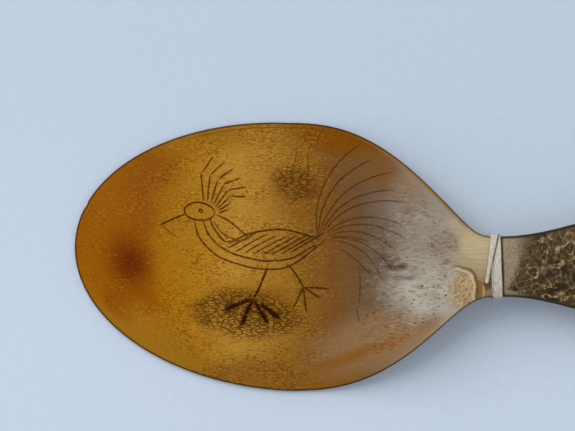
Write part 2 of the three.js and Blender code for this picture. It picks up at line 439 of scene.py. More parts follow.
def stroke_samples(strokes):
    """Even samples along every stroke: place, direction, half-width, depth and stain."""
    rows = []
    for number, one in enumerate(strokes):
        line = even_steps(one.points, STROKE_STEP)
        shake = [lumps(line[:, k] + number, line[:, 1 - k], 2.2, 3 + k) for k in (0, 1)]
        line = line + HAND_SHAKE * np.column_stack(shake)
        way = np.gradient(line, axis=0)
        way /= np.linalg.norm(way, axis=1)[:, None]
        along = np.linspace(0, 1, len(line))
        wobble = lumps(line[:, 0] * 3 + number, line[:, 1] * 3, 1.0, 5)
        pressed = smooth(along, -0.03, 0.12) * smooth(1 - along, -0.03, 0.12)
        wide = one.half_width * (0.72 + 0.28 * pressed) * (1 + 0.12 * wobble)
        if one.ragged:
            teeth = lumps(line[:, 0] * 9 + number, line[:, 1] * 9, 1.0, 9)
            wide = one.half_width * (0.75 + 0.45 * along) * (1 + one.ragged * teeth)
        deep = one.depth * (0.5 + 0.5 * pressed) * (1 + 0.2 * wobble)
        dark = one.stain * (0.75 + 0.25 * pressed) * (1 + 0.15 * wobble)
        burnt = np.full(len(line), 1.0 if one.ragged else 0.0)
        rows.append(np.column_stack([line, way, wide, deep, dark, burnt]))
    return np.concatenate(rows)


def stroke_points(samples):
    """Plan points across each sample, so that a groove's walls and lips have edges of their own."""
    made = []
    for x, y, way_x, way_y, wide, _, _, burnt in samples:
        for offset in WIDE_STROKE_OFFSETS if burnt else STROKE_OFFSETS:
            made.append((x - way_y * wide * offset, y + way_x * wide * offset))
    return np.array(made)


def thinned_out(points, spacing):
    """Leaves out each point that falls in the same small square as one before it."""
    taken = set()
    kept = []
    for number, (x, y) in enumerate(points):
        key = (int(x // spacing), int(y // spacing))
        if key not in taken:
            taken.add(key)
            kept.append(number)
    return points[kept]


# ---- bowl piece

RIM_STEP = 0.45
RIM_RINGS = (0.1, 0.22, 0.4, 0.7, 1.05)
RIM_ROUND = 0.35
SKIN_TONGUE = {"centre": (TIP_X + 74, -7.2), "radii": (6.1, 5.4), "squareness": 3.3}
CARVED_DEPTH = 0.5
CHIP = {"centre": (TIP_X + 82.25, -5.7), "half": (0.8, 1.05), "depth": 0.45}
DENT = {"centre": (TIP_X + 1.7, 10.7), "depth": 0.35, "length": 0.7}
BEVEL_WIDTH = 0.95
BEVEL_DROP = 0.16
BEVEL_STARTS = (19, 27)  # from the tip
BEVEL_ENDS = (55, 63)
BEVEL_SIDE_Y = (4, 9)
FINE_FROM_X = TIP_X + 63
LEAST_GAP = 0.055  # between plan points


def tongue_share(x, y):
    """1 on the edge of the tongue of natural skin that reaches down one side of the neck."""
    cx, cy = SKIN_TONGUE["centre"]
    rx, ry = SKIN_TONGUE["radii"]
    power = SKIN_TONGUE["squareness"]
    away = (np.abs((x - cx) / rx) ** power + np.abs((y - cy) / ry) ** power) ** (1 / power)
    return away + 0.03 * lumps(x, y, 1.1, 25)


def chip_share(x, y):
    """1 in a small broken-out hollow beside the binding."""
    cx, cy = CHIP["centre"]
    hx, hy = CHIP["half"]
    away = (((x - cx - 0.25 * (y - cy)) / hx) ** 4 + ((y - cy) / hy) ** 4) ** 0.25
    return smooth(0.25 * lumps(x, y, 0.45, 31) - away, -1.15, -0.85)


def carved_share(x, y):
    """1 where the neck has been cut down below the natural skin."""
    beyond = smooth(x - TIP_X + 2.4 * rough(x, y, 3.5, 41), 74, 78.5)
    return beyond * smooth(tongue_share(x, y), 0.96, 1.05)


def bevelled_rim(x, y):
    """1 along the side of the rim that has a bevel."""
    from_tip = x - TIP_X
    return smooth(from_tip, *BEVEL_STARTS) * (1 - smooth(from_tip, *BEVEL_ENDS)) * smooth(y, *BEVEL_SIDE_Y)


def outside_relief(x, y):
    """Scrape marks, neck striations and the natural skin's bumps."""
    from_tip = x - TIP_X
    neck = smooth(from_tip, 76, 80)
    natural = 1 - carved_share(x, y)
    skin = smooth(from_tip, 61, 71) * natural
    scrapes = 0.012 * rough(x / 9, y, 0.9, 51)
    striations = 0.03 * rough(x / 14, y, 0.5, 61, 2) * neck * (1 - natural)
    bumps = 0.035 * rough(x / 1.6, y, 0.9, 71) * skin
    warts = 0.1 * rough((x + 1.1 * y) / 2, y - 1.1 * x, 0.8, 81) * smooth(from_tip, 72, 76.5) * natural
    ridge = 0.09 * np.exp(-(((tongue_share(x, y) - 0.9) / 0.05) ** 2)) * smooth(from_tip, 75, 78)
    return scrapes + striations + bumps + warts + ridge


def groove_heights(points, samples):
    """Depth of cut, stain and burn at each plan point."""
    index, gap = nearest(points, samples[:, :2])
    near = samples[index]
    along_x, along_y, wide, deep, dark, burnt = near[:, 2:].T
    off = points - near[:, :2]
    square = np.abs(off[:, 0] * along_y - off[:, 1] * along_x)
    past = np.abs(off[:, 0] * along_x + off[:, 1] * along_y)
    distance = np.where(past < STROKE_STEP, square, gap)
    share = distance / wide
    cut = deep * np.clip(1 - share**2, 0, 1)
    lip = 0.08 * deep * np.exp(-(((share - 1.35) / 0.3) ** 2))
    stain = dark * smooth(-share, -1.35, -0.65)
    return cut - lip, stain, burnt * smooth(-share, -2.2, -0.6)


def dented(points):
    """Plan points moved in where the rim has a small dent."""
    cx, cy = DENT["centre"]
    away = np.linalg.norm(points - (cx, cy), axis=1)
    push = DENT["depth"] * np.exp(-((away / DENT["length"]) ** 2))
    centre = np.array([TIP_X + WIDEST_AT, 0.0])
    way = centre - points
    way /= np.linalg.norm(way, axis=1)[:, None] + 1e-9
    return points + way * push[:, None]


def bowl_plan(rings, spacings, grooves=None, clear=0.0):
    """Border and inner plan points of one side of the bowl, with each point's distance from the rim."""
    rim = rim_line(RIM_STEP)
    neck_end = even_steps(np.array([rim[-1], rim[0]]), RIM_STEP)[1:-1]
    border = np.concatenate([rim, neck_end])
    dense_rim = rim_line(0.1)

    def kept(group, least):
        """The points that are on the bowl and farther in from the rim than that."""
        group = group[group[:, 0] < NECK_END_X - 0.08]
        group = group[inside_share(*group.T) > 0]
        return group[nearest(group, dense_rim)[1] > least]

    inner = [kept(rim + inward(rim) * distance, 0.95 * distance) for distance in rings]
    past_rings = 1.15 * rings[-1]
    if grooves is not None:
        grooves = kept(grooves, past_rings)
        inner.append(grooves)
    for spacing, from_x, to_x in spacings:
        grid = kept(hex_points((from_x, -BOWL_HALF_WIDTH), (to_x, BOWL_HALF_WIDTH), spacing), past_rings)
        if grooves is not None:
            grid = grid[nearest(grid, grooves)[1] > clear]
        inner.append(grid)
    points, faces = triangulated(border, thinned_out(np.concatenate(inner), LEAST_GAP))
    return points, faces, len(border), nearest(points, dense_rim)[1]


def bowl_piece():
    samples = stroke_samples(engraving())
    fine = ((0.55, TIP_X, FINE_FROM_X), (0.3, FINE_FROM_X, NECK_END_X))
    coarse = ((1.0, TIP_X, NECK_END_X),)
    top, top_faces, ring_size, top_gap = bowl_plan(RIM_RINGS, fine, stroke_points(samples), 0.2)
    under, under_faces, _, under_gap = bowl_plan((0.15, 0.4, 0.9), coarse)

    x, y = top.T
    cut, stain, burn = groove_heights(top, samples)
    bevel = BEVEL_DROP * (1 - smooth(top_gap, BEVEL_WIDTH * 0.8, BEVEL_WIDTH)) * bevelled_rim(x, y)
    carved = carved_share(x, y)
    z = outside_height(x, y) - CARVED_DEPTH * carved + outside_relief(x, y)
    z = z - rounding(top_gap, RIM_ROUND) - bevel - cut
    chip = chip_share(x, y)
    floor = outside_height(*CHIP["centre"]) - CARVED_DEPTH - CHIP["depth"]
    z = lerp(z, np.minimum(z, floor + 0.04 * lumps(x, y, 0.5, 91)), chip)

    under_x, under_y = under.T
    under_z = hollow_height(under_x, under_y) + 0.02 * rough(under_x / 6, under_y, 1.4, 101)
    under_z = np.maximum(under_z, rim_height(under_x)) + rounding(under_gap, 0.2)

    count = len(top)
    points = np.concatenate([np.column_stack([dented(top), z]), np.column_stack([dented(under), under_z])])
    faces = top_faces + flipped(under_faces, count)
    faces += flipped(stitched(list(range(ring_size)), list(range(count, count + ring_size))))
    outside = {"cut": stain, "burn": burn, "chip": chip, "carved": carved, "tongue": tongue_share(x, y)}
    values = {key: np.append(numbers, np.zeros(len(under))) for key, numbers in outside.items()}
    values["edge"] = np.append(top_gap, under_gap)
    values["under"] = np.append(np.zeros(count), np.ones(len(under)))
    return mesh_piece("horn_bowl", points, faces, values)


# ---- handle piece

FINE_HANDLE_STEP = 0.14
FINE_HANDLE_TO_X = 7.0
HANDLE_STEP = 0.36
HANDLE_COLUMNS = 120
HANDLE_END_ROWS = 40
SIDE_SPREAD = 1.15
TOP_ROUND = 1.3
UNDER_ROUND = 0.9
WORM_SIZE = 1.0
SKIN_SETTLED = 0.48  # the skin's middle height, below the plain handle's top
RELIEF_DEPTH = 0.24


def arch_bottom(x):
    drop = ARCH_HEIGHT / (FOOT_X - ARCH_X) ** 2
    return np.maximum(0, ARCH_HEIGHT - drop * (x - ARCH_X) ** 2)


def handle_half_width(x):
    flare = smooth(x, FLARE_FROM_X, FLARE_TO_X)
    narrowing = smooth(x, NARROWS_FROM_X, HANDLE_HIGH.x) * (HANDLE_HALF_WIDTH - HANDLE_END_HALF_WIDTH)
    return lerp(HANDLE_NECK_HALF_WIDTH, HANDLE_HALF_WIDTH, flare) - narrowing


def handle_stations():
    """Rows of the handle's grid: X on its axis, how far round its end, and whether it is the lap tongue."""
    straight_to = HANDLE_HIGH.x - END_ROUND
    tongue = np.linspace(HANDLE_LOW.x, SHOULDER_X, 16)
    fine = np.arange(SHOULDER_X, FINE_HANDLE_TO_X, FINE_HANDLE_STEP)
    coarse_count = int((straight_to - FINE_HANDLE_TO_X) / HANDLE_STEP)
    body = np.concatenate([fine, np.linspace(FINE_HANDLE_TO_X, straight_to, coarse_count)])
    round_end = np.sin(np.linspace(0, math.pi / 2, HANDLE_END_ROWS)[1:])
    x = np.concatenate([tongue, body, np.full(len(round_end), straight_to)])
    out = np.concatenate([np.zeros(len(tongue) + len(body)), round_end])
    is_tongue = np.concatenate([np.ones(len(tongue)), np.zeros(len(body) + len(round_end))])
    return x, out, is_tongue


def handle_roughness(x, y, gap):
    """1 on the wrinkled natural skin, 0 on the smooth collar behind the binding and along the edges."""
    ragged = 1.3 * rough(x, y, 2.4, 111)
    collar = smooth(x + ragged - 0.35 * (y - NECK_Y), -8.2, -4.8)
    margin = 0.7 + 1.3 * smooth(-x, 0, 8)
    return collar * smooth(gap + 0.4 * ragged, margin * 0.4, margin)


def handle_relief(x, y):
    """Worm-like ridges and worn pits of old horn skin, roughly from -1 to 1."""
    bent_x = x + 0.8 * rough(x, y, 2.0, 121)
    bent_y = y + 0.8 * rough(x, y, 2.0, 131)
    field = lumps(bent_x / 1.15, bent_y, WORM_SIZE, 141)
    finer = lumps(bent_x, bent_y, WORM_SIZE * 0.6, 151)
    worms = np.exp(-((field / 0.22) ** 2)) + 0.4 * np.exp(-((finer / 0.26) ** 2))
    cracks = np.exp(-(((field - 0.42) / 0.13) ** 2))
    strength = 0.55 + 0.6 * smooth(rough(x, y, 2.8, 155), -0.5, 0.5)
    pits = smooth(rough(x / 1.2, y, 2.2, 161), 0.24, 0.42)
    grain = rough(x, y, 0.45, 171)
    skin = (0.9 * worms - 0.5 * cracks) * strength + 0.6 * grain - 0.16
    return (1 - pits) * skin + (0.3 * grain - 0.62) * pits


def handle_piece():
    axis_x, out, is_tongue = handle_stations()
    side = np.sin(np.linspace(-1, 1, HANDLE_COLUMNS) * SIDE_SPREAD) / math.sin(SIDE_SPREAD)
    x = axis_x[:, None] + END_ROUND * out[:, None] * np.sqrt(1 - side**2 / 2)
    share = side * np.sqrt(1 - out[:, None] ** 2 / 2)
    y = NECK_Y + handle_half_width(x) * share
    inside = (1 - side**2) * (1 - out[:, None] ** 2)

    plan = np.column_stack([x.ravel(), y.ravel()])
    loop = plan[grid_ring(*x.shape)]
    outline = even_steps(np.concatenate([loop, loop[:1]]), 0.15)
    outline = outline[outline[:, 0] > HANDLE_LOW.x + 0.01]
    gap = nearest(plan, outline)[1].reshape(x.shape)

    neck_top = RIM_LIFT + NECK_THICKNESS
    thinned = smooth(x, SHOULDER_X, THINNED_BY_X)
    bottom = arch_bottom(x)
    edge_top = lerp(neck_top, bottom + HANDLE_THICKNESS, thinned)
    top = edge_top + lerp(NECK_CROWN, HANDLE_CROWN, thinned) * inside
    skin = handle_roughness(x, y, gap)
    relief = handle_relief(x, y)
    striations = 0.03 * rough(x / 10, y, 0.6, 181)
    body_top = top - SKIN_SETTLED + RELIEF_DEPTH * relief * skin + striations * (1 - skin)
    body_top = body_top - rounding(gap, TOP_ROUND)
    top = np.where(is_tongue[:, None] > 0, TONGUE_TOP_Z - rounding(gap, 0.3), body_top)
    scraped = 0.05 * rough(x / 8, y, 2.0, 191) * smooth(-x, -80, -70)
    under = np.maximum(bottom + scraped, 0) + rounding(gap, UNDER_ROUND) * smooth(x, -16, -10)

    points, faces = closed_slab(np.dstack([x, y, top]), np.dstack([x, y, under]), side_rows=5)
    flank = np.zeros(len(points) - 2 * x.size)
    flat = np.zeros(x.size)
    values = {
        "skin": np.concatenate([skin.ravel(), flat, flank]),
        "relief": np.concatenate([(relief * skin).ravel(), flat, flank]),
        "edge": np.concatenate([gap.ravel(), gap.ravel() + 1, flank + 1]),
        "under": np.concatenate([flat, flat + 1, flank + 0.5]),
    }
    return mesh_piece("horn_handle", points, faces, values)


# ---- lap glue

BEAD_SIDES = 14
BEAD_HALF_WIDTH = 0.82
BEAD_RISE = 0.26
BEAD_DEPTH = 0.2


def bead_path():
    """The middle line of the squeezed-out glue, along the skin tongue's edge and down the neck's side."""
    along_tongue = through([(80, -4.2), (80.7, -5.0), (81.05, -6.0), (81.1, -7.0), (80.8, -7.8)], 40)
    along_tongue = along_tongue + (TIP_X, 0)
    path = [(x, y, float(outside_height(x, y)) - CARVED_DEPTH - 0.06) for x, y in along_tongue]
    x, y, z = path[-1]
    for drop in np.linspace(0.25, 1, 10):
        low = lerp(z, RESIN_LOW.z + 0.25, drop)
        path.append((x + 0.2 * drop, y - 0.25 * math.sin(3 * drop) + 0.5 * drop, low))
    return np.array(path), len(along_tongue)


def glue_bead():
    """A closed, flattened tube along the bead's path, thickest in the middle."""
    path, turns_down_at = bead_path()
    points = []
    for number, centre in enumerate(path):
        way = path[min(number + 1, len(path) - 1)] - path[max(number - 1, 0)]
        way /= np.linalg.norm(way)
        across = np.cross(way, (0.15, -0.35, 1.0) if number > turns_down_at - 4 else (0, 0, 1))
        across /= np.linalg.norm(across)
        out = np.cross(across, way)
        share = number / (len(path) - 1)
        girth = math.sin(math.pi * min(1, 0.1 + share * 1.6) / 2) * (1 - 0.5 * smooth(share, 0.75, 1))
        girth *= 1 + 0.12 * float(lumps(number * 0.35, 0, 1.0, 201))
        for k in range(BEAD_SIDES):
            angle = 2 * math.pi * k / BEAD_SIDES
            height = BEAD_RISE if math.sin(angle) > 0 else BEAD_DEPTH
            offset = across * math.cos(angle) * BEAD_HALF_WIDTH + out * math.sin(angle) * height
            points.append(centre + offset * girth)
    rings = [list(range(n, n + BEAD_SIDES)) for n in range(0, len(points), BEAD_SIDES)]
    faces = [quad for first, second in zip(rings, rings[1:]) for quad in stitched(first, second)]
    return np.array(points), faces + [tuple(rings[0][::-1]), tuple(rings[-1])]


def glue_layer():
    u = np.linspace(0, 1, 16)[:, None] * np.ones(24)
    v = np.linspace(-1, 1, 24) * np.ones((16, 1))
    x = lerp(RESIN_LOW.x, RESIN_HIGH.x, u) + 0.12 * lumps(v * 3, u, 0.5, 211) * (u < 0.01)
    half = (RESIN_HIGH.y - RESIN_LOW.y) / 2
    y = (RESIN_HIGH.y + RESIN_LOW.y) / 2 + half * v * (1 - 0.05 * np.abs(lumps(u * 6, v * 0, 1.0, 221)))
    upper = np.dstack([x, y, np.full(x.shape, RESIN_HIGH.z)])
    lower = np.dstack([x, y, np.full(x.shape, RESIN_LOW.z)])
    return closed_slab(upper, lower, side_rows=2)


def resin_piece():
    """The glue layer of the lap, run together with its bead."""
    points, faces = glue_bead()
    layer_points, layer_faces = glue_layer()
    faces += [tuple(n + len(points) for n in face) for face in layer_faces]
    piece = mesh_piece("lap_glue", np.concatenate([points, layer_points]), faces)
    joined = piece.modifiers.new("joined", "REMESH")
    joined.mode = "VOXEL"
    joined.voxel_size = 0.11 * MM
    softened = piece.modifiers.new("softened", "SMOOTH")
    softened.iterations = 4
    applied(piece)
    piece.data.shade_smooth()
    return piece


def applied(piece):
    """Replaces a piece's mesh by what its modifiers make of it."""
    graph = bpy.context.evaluated_depsgraph_get()
    graph.update()
    mesh = bpy.data.meshes.new_from_object(piece.evaluated_get(graph))
    piece.modifiers.clear()
    piece.data = mesh


# ---- binding strip

STRIP_WIDTH = 1.85
STRIP_THICKNESS = 0.11
STRIP_PITCH = 0.115
FIRST_TURN_X = -11.25
MAIN_TURN_X = -10.8
FIRST_SLANT = 0.07
STRAND_SLANT = 0.03
TAIL_START_X = -11.0
TAIL_END_X = -13.0
WRAP_Y = NECK_Y - 0.1
WRAP_HALF_WIDTH = 6.12
WRAP_BOTTOM_Z = 3.75
WRAP_CORNER = 0.9
TURNS_BEFORE_TAIL = 2.225
TAIL_TURNS = 0.362
TURN_LENGTH = 36
STRIP_ROWS = 560
STRIP_COLUMNS = 13


def wrap_line():
    """The closed line that a turn follows round the neck, in the YZ plane, with its outward directions."""
    low_z = WRAP_BOTTOM_Z + WRAP_CORNER
    edge_z = RIM_LIFT + NECK_THICKNESS - CARVED_DEPTH + 0.12
    high_z = edge_z - WRAP_CORNER
    side = WRAP_HALF_WIDTH - WRAP_CORNER
    arcs = []
    for quarter, (y, z) in enumerate(((side, low_z), (side, high_z), (-side, high_z), (-side, low_z))):
        angle = np.linspace(quarter - 1, quarter, 12) * math.pi / 2
        arcs.append(np.stack([y + WRAP_CORNER * np.cos(angle), z + WRAP_CORNER * np.sin(angle)], axis=1))
    top_y = np.linspace(side, -side, 40)[1:-1]
    crown = np.stack([top_y, edge_z + NECK_CROWN * (1 - (top_y / side) ** 2)], axis=1)
    middle = np.array([[0.0, WRAP_BOTTOM_Z]])
    line = even_steps(np.concatenate([middle, *arcs[:2], crown, *arcs[2:], middle]), 0.1)
    way = np.gradient(line, axis=0)
    for _ in range(3):
        way[1:-1] = (way[:-2] + way[1:-1] + way[2:]) / 3
    way /= np.linalg.norm(way, axis=1)[:, None]
    return line, np.stack([way[:, 1], -way[:, 0]], axis=1)


def strand(turn, path_y):
    """How far along its tail the strip is at a turn, with its middle line's X and its width there."""
    first = FIRST_TURN_X - FIRST_SLANT * path_y
    wound = lerp(first, MAIN_TURN_X - STRAND_SLANT * path_y, smooth(turn, 0.75, 1.25))
    wound = lerp(wound, TAIL_START_X, smooth(turn, TURNS_BEFORE_TAIL - 0.3, TURNS_BEFORE_TAIL))
    way = np.clip((turn - TURNS_BEFORE_TAIL) / TAIL_TURNS, 0, 1)
    centre = lerp(wound, TAIL_END_X, way**1.15) + 0.06 * lumps(turn * 5, turn, 1.0, 231)
    width = STRIP_WIDTH * (1 + 0.1 * lumps(turn * 8, turn, 1.0, 241))
    return way, centre, lerp(width, 0.7, smooth(way, -0.1, 0.95))


def binding_piece():
    line, outward = wrap_line()
    turns = TURNS_BEFORE_TAIL + TAIL_TURNS
    turn = np.linspace(0, turns, STRIP_ROWS)[:, None]
    at = (turn % 1) * (len(line) - 1)
    number = np.arange(len(line))
    path_y, path_z, out_y, out_z = (np.interp(at, number, track) for track in (*line.T, *outward.T))

    tail = smooth(turn, TURNS_BEFORE_TAIL - 0.03, turns)
    way, centre, width = strand(turn, path_y)
    across = np.linspace(-1, 1, STRIP_COLUMNS)[None, :]
    fibre = lumps(across * 2.1, turn * 0.6, 0.33, 251)
    x = centre + across * width / 2 + 0.02 * lumps(turn * 40, across, 1.0, 261)
    folded = tail * 0.16 * (1 - across**2)
    lift = STRIP_PITCH * turn + 0.03 * lumps(turn * 9, across, 1.0, 271)
    lift = lift + 0.5 * smooth(way, 0.55, 1.0) * (0.6 + 0.4 * across)
    thin = STRIP_THICKNESS * (1 - 0.55 * np.abs(across) ** 3)
    upper = lift + thin + folded + 0.022 * fibre
    grids = []
    for height in (upper, lift):
        grids.append(np.dstack([x, WRAP_Y + path_y + out_y * height, path_z + out_z * height]))
    points, faces = closed_slab(*grids)
    wide = (across + 0 * turn).ravel()
    length = (turn * TURN_LENGTH + 0 * across).ravel()
    way_over, centre_over, width_over = strand(turn + 1, path_y)
    from_tail = x - centre_over - width_over / 2
    shade = smooth(-from_tail, -0.42, -0.12) * (way_over > 0) * (turn + 1 < turns + 0.01)
    both = {"across": wide, "along": length, "shade": shade.ravel()}
    values = {key: np.tile(numbers, 2) for key, numbers in both.items()}
    return mesh_piece("binding_strip", points, faces, values)


# ---- materials

WART_TURN = math.radians(-50)
STRIP_SHADE_X = (MAIN_TURN_X - 1.25, MAIN_TURN_X - 1.0)  # where the shade beside the strip begins and is full
# Where the painted shadow of the strip's right edge on the handle begins and is full.
STRIP_SHADOW_X = (SHOULDER_X + 0.9, SHOULDER_X + 0.6)


def linear(colour):
    """A display colour of 0 to 255 as the linear colour that a shader takes."""
    shares = np.array(colour) / 255
    return (*np.where(shares <= 0.04045, shares / 12.92, ((shares + 0.055) / 1.055) ** 2.4), 1.0)


class Look:
    """A node material under construction. Its places are millimetres in the spoon's own frame, its colours
    are display colours of 0 to 255, and `colour` is the one that it has so far."""

    def __init__(self, name, **surface):
        self.material = bpy.data.materials.new(name)
        self.material.use_nodes = True
        self.tree = self.material.node_tree
        self.shader = self.tree.nodes["Principled BSDF"]
        for key, value in surface.items():
            self.shader.inputs[key.replace("_", " ")].default_value = value
        place = self.node("TexCoord", output="Object")
        self.place = self.vector("MULTIPLY", place, (1 / MM, 1 / MM, 1 / MM))
        self.x = self.node("SeparateXYZ", {0: self.place}, 0)
        self.y = self.node("SeparateXYZ", {0: self.place}, 1)
        self.from_tip = self.minus(self.x, TIP_X)
        self.colour = None

    def put(self, socket, value):
        if isinstance(value, bpy.types.NodeSocket):
            self.tree.links.new(value, socket)
        else:
            socket.default_value = value

    def node(self, kind, inputs=(), output=0, **settings):
        made = self.tree.nodes.new("ShaderNode" + kind)
        for key, value in settings.items():
            setattr(made, key, value)
        for key, value in dict(inputs).items():
            self.put(made.inputs[key], value)
        return made.outputs[output]

    def math(self, operation, first, second=0.0):
        return self.node("Math", {0: first, 1: second}, operation=operation)

    def plus(self, first, second):
        return self.math("ADD", first, second)

    def minus(self, first, second):
        return self.math("SUBTRACT", first, second)

    def times(self, first, *others):
        for other in others:
            first = self.math("MULTIPLY", first, other)
        return first

    def near(self, value, middle, outer, inner):
        """1 where a value is within `inner` of the middle, 0 where it is past `outer`."""
        return self.ramp(self.math("ABSOLUTE", self.minus(value, middle)), outer, inner)

    def vector(self, operation, first, second=(0, 0, 0), output=0):
        return self.node("VectorMath", {0: first, 1: second}, output, operation=operation)

    def number(self, name):
        return self.node("Attribute", output="Fac", attribute_name=name)

    def ramp(self, value, low, high, to_low=0.0, to_high=1.0):
        inputs = {"Value": value, 1: low, 2: high, 3: to_low, 4: to_high}
        return self.node("MapRange", inputs, interpolation_type="SMOOTHSTEP")

    def bands(self, value, low, high, stops):
        """A run of colours along a value, given as pairs of value and colour."""
        share = self.node("MapRange", {"Value": value, 1: low, 2: high})
        made = self.tree.nodes.new("ShaderNodeValToRGB")
        self.put(made.inputs[0], share)
        marks = made.color_ramp.elements
        while len(marks) < len(stops):
            marks.new(0.5)
        for mark, (at, colour) in zip(marks, stops):
            mark.position = (at - low) / (high - low)
            mark.color = linear(colour)
        return made.outputs[0]

    def stretched(self, stretch, place=None):
        return self.vector("MULTIPLY", place or self.place, (*stretch, 1))

    def noise(self, scale, detail=2.0, stretch=(1, 1), roughness=0.5, distortion=0.0, place=None):
        inputs = {
            "Vector": self.stretched(stretch, place),
            "Scale": scale,
            "Detail": detail,
            "Roughness": roughness,
            "Distortion": distortion,
        }
        return self.node("TexNoise", inputs)

    def cells(self, scale, stretch, place=None, feature="F1"):
        inputs = {"Vector": self.stretched(stretch, place), "Scale": scale}
        return self.node("TexVoronoi", inputs, "Distance", feature=feature)

    def shaken(self, value, reach, size, stretch=(1, 1), detail=3):
        """A value that wanders up and down by up to about `reach` / 2."""
        return self.plus(value, self.times(self.minus(self.noise(size, detail, stretch), 0.5), reach))

    def blob(self, centre, radii, turn=0.0, core=0.3, wobble=0.0, size=0.15):
        """1 in the middle of an oval in plan, 0 outside it. Its edge wanders by wobble, and its centre's
        X is measured from the bowl's tip."""
        inputs = {
            "Vector": self.place,
            "Location": (TIP_X + centre[0], centre[1], 0),
            "Rotation": (0, 0, math.radians(turn)),
            "Scale": (*radii, 1e5),
        }
        turned = self.node("Mapping", inputs, vector_type="TEXTURE")
        away = self.vector("LENGTH", turned, output="Value")
        return self.ramp(self.shaken(away, 2 * wobble, size), 1.0, core)

    def mix(self, share, first, second):
        made = self.tree.nodes.new("ShaderNodeMix")
        made.data_type = "RGBA"
        self.put(made.inputs[0], share)
        for number, colour in ((6, first), (7, second)):
            self.put(made.inputs[number], linear(colour) if isinstance(colour, tuple) else colour)
        return made.outputs[2]

    def tint(self, colour, *shares):
        """Lays a colour over the look's own, as far as the product of the shares says."""
        self.colour = self.mix(self.times(*shares), self.colour, colour)

    def tint_blobs(self, rows, *shares, wobble, size=0.15):
        for centre, radii, turn, core, colour, strength in rows:
            self.tint(colour, self.blob(centre, radii, turn, core, wobble, size), strength, *shares)

    def finish(self, roughness, height, distance):
        bump = self.node("Bump", {"Distance": distance * MM, "Height": height}, "Normal")
        self.put(self.shader.inputs["Base Color"], self.colour)
        self.put(self.shader.inputs["Roughness"], roughness)
        self.put(self.shader.inputs["Normal"], bump)
        return self.material


# The bowl's horn, by distance from its tip.
BANDS_FROM = -1
BANDS_TO = 75
CLEAR_HORN_BANDS = (
    (0, (147, 84, 2)),
    (7, (150, 84, 1)),
    (14.5, (141, 76, 1)),
    (18.5, (157, 101, 6)),
    (25, (168, 114, 22)),
    (33, (182, 130, 46)),
)
OUTSIDE_BANDS = CLEAR_HORN_BANDS + (
    (41, (161, 112, 38)),
    (45.5, (138, 92, 28)),
    (51, (120, 77, 33)),
    (57, (108, 80, 50)),
    (62, (120, 99, 79)),
    (66.5, (146, 133, 116)),
    (74, (156, 143, 126)),
)
HOLLOW_BANDS = CLEAR_HORN_BANDS + ((55, (150, 96, 26)), (74, (176, 140, 84)))
GLOW_BELOW = 1.3  # how much brighter the low side is, where light comes through from the table

# Ovals in plan: centre from the tip, radii, turn in degrees, core, colour and strength.
HORN_ZONES = (
    ((16.5, 17.5), (9, 7), 25, 0.1, (133, 74, 2), 0.8),
    ((8.8, -11), (6.5, 8), 40, 0.1, (131, 66, 1), 0.95),
    ((11, 2), (7, 6), 0, 0.1, (140, 74, 1), 0.6),
    ((53, 24.5), (15, 5.5), -20, 0.45, (124, 70, 2), 1.0),
    ((60.5, 17), (9, 6), -30, 0.25, (122, 80, 38), 0.9),
    ((67, 13), (6, 5), -35, 0.2, (142, 114, 84), 0.7),
    ((31, 26), (22, 7), 8, 0.2, (144, 94, 18), 0.8),
    ((38, -24), (28, 6), 2, 0.3, (143, 92, 28), 0.9),
    ((17, -17), (14, 7), -42, 0.3, (158, 106, 20), 0.9),
    ((58, -17), (17, 8), 18, 0.3, (146, 109, 68), 0.9),
    ((37, -9), (15, 6.5), -5, 0.2, (134, 86, 18), 0.7),
    ((45, 13), (8, 8), 0, 0.2, (130, 83, 18), 0.7),
    ((10.8, -1.0), (7.5, 9.5), 12, 0.1, (118, 56, 1), 0.85),
)
SKIN_STAINS = (
    ((64.4, -1.8), (5.5, 1.1), -5, 0.0, (78, 44, 36), 0.85),
    ((62, -0.2), (5.0, 1.6), -12, 0.0, (88, 60, 52), 0.6),
    ((65.5, -4.0), (5.0, 0.9), -3, 0.0, (96, 80, 76), 0.7),
    ((74.6, 2.4), (1.7, 0.9), 10, 0.0, (136, 96, 68), 0.7),
    ((75, -0.9), (2.6, 0.9), -6, 0.0, (122, 84, 64), 0.8),
    ((70.5, -13.4), (4.5, 1.8), 28, 0.0, (126, 92, 74), 0.6),
    ((58, -2.6), (4.0, 0.9), -14, 0.0, (96, 58, 44), 0.5),
    ((66.5, 9.0), (2.2, 2.2), 0, 0.0, (126, 92, 74), 0.4),
)


def horn_ground(look, outside):
    """Clear horn from the tip to the middle, then ever chalkier natural skin towards the neck."""
    way = look.shaken(look.from_tip, 7.0, 0.14, (0.7, 1), 4)
    way = look.shaken(way, 2.0, 1.3, (0.4, 1), 4)
    hollow = look.bands(way, BANDS_FROM, BANDS_TO, HOLLOW_BANDS)
    look.colour = look.mix(outside, hollow, look.bands(way, BANDS_FROM, BANDS_TO, OUTSIDE_BANDS))
    look.tint_blobs(HORN_ZONES, wobble=0.14)
    dark_spot = look.blob((11.4, -1.2), (5.2, 5.6), 20, 0.0, 0.1)
    look.tint((94, 30, 0), dark_spot, 0.9)
    # Painted light: the low side is brightened, standing in for light that comes through the horn from the
    # table.
    look.colour = look.vector("MULTIPLY", look.colour, look.ramp(look.y, 12, -16, 1.0, GLOW_BELOW))


